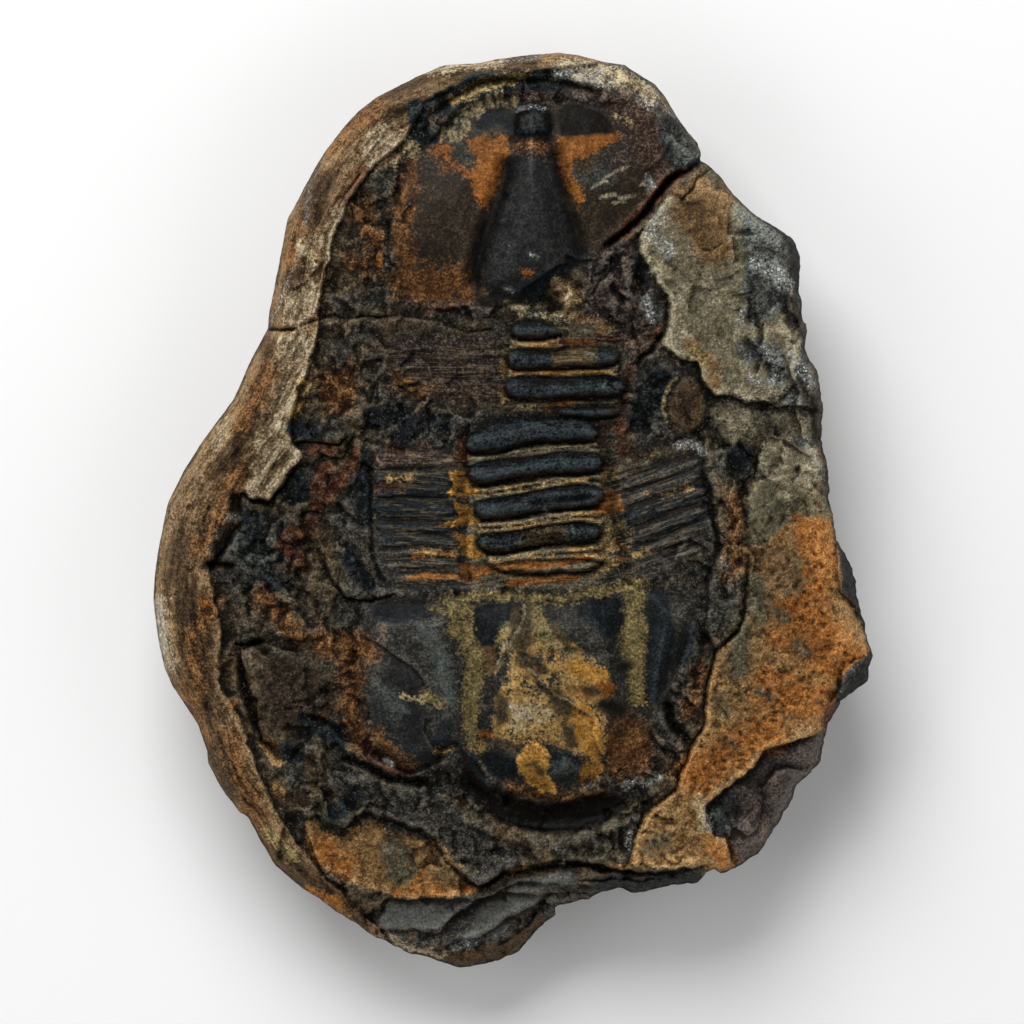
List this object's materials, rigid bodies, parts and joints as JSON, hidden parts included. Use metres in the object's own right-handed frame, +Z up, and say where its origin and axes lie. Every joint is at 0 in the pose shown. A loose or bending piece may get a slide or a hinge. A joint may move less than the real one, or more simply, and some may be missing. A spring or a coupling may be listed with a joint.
{
  "type": "trilobite fossil in a split stone nodule",
  "caption": "Large trilobite lying head up on the broken face of a dark stone nodule with a worn rounded crust and a flat rest face underneath.",
  "frame": {"origin": "middle of the outline's bounding box, on the plane of the flat rest face", "axes": "+Z up out of the fossil's face, +Y towards the head, +X to the right as seen from above"},
  "size_m": [0.1262, 0.1607, 0.0374],
  "materials": {
    "fossil_stone": "dull dark shale with iron-oxide staining, smooth on the shell and grainy on the breaks"
  },
  "bodies": {
    "root": {"trilobite_fossil": "fossil_stone"}
  },
  "joints": []
}
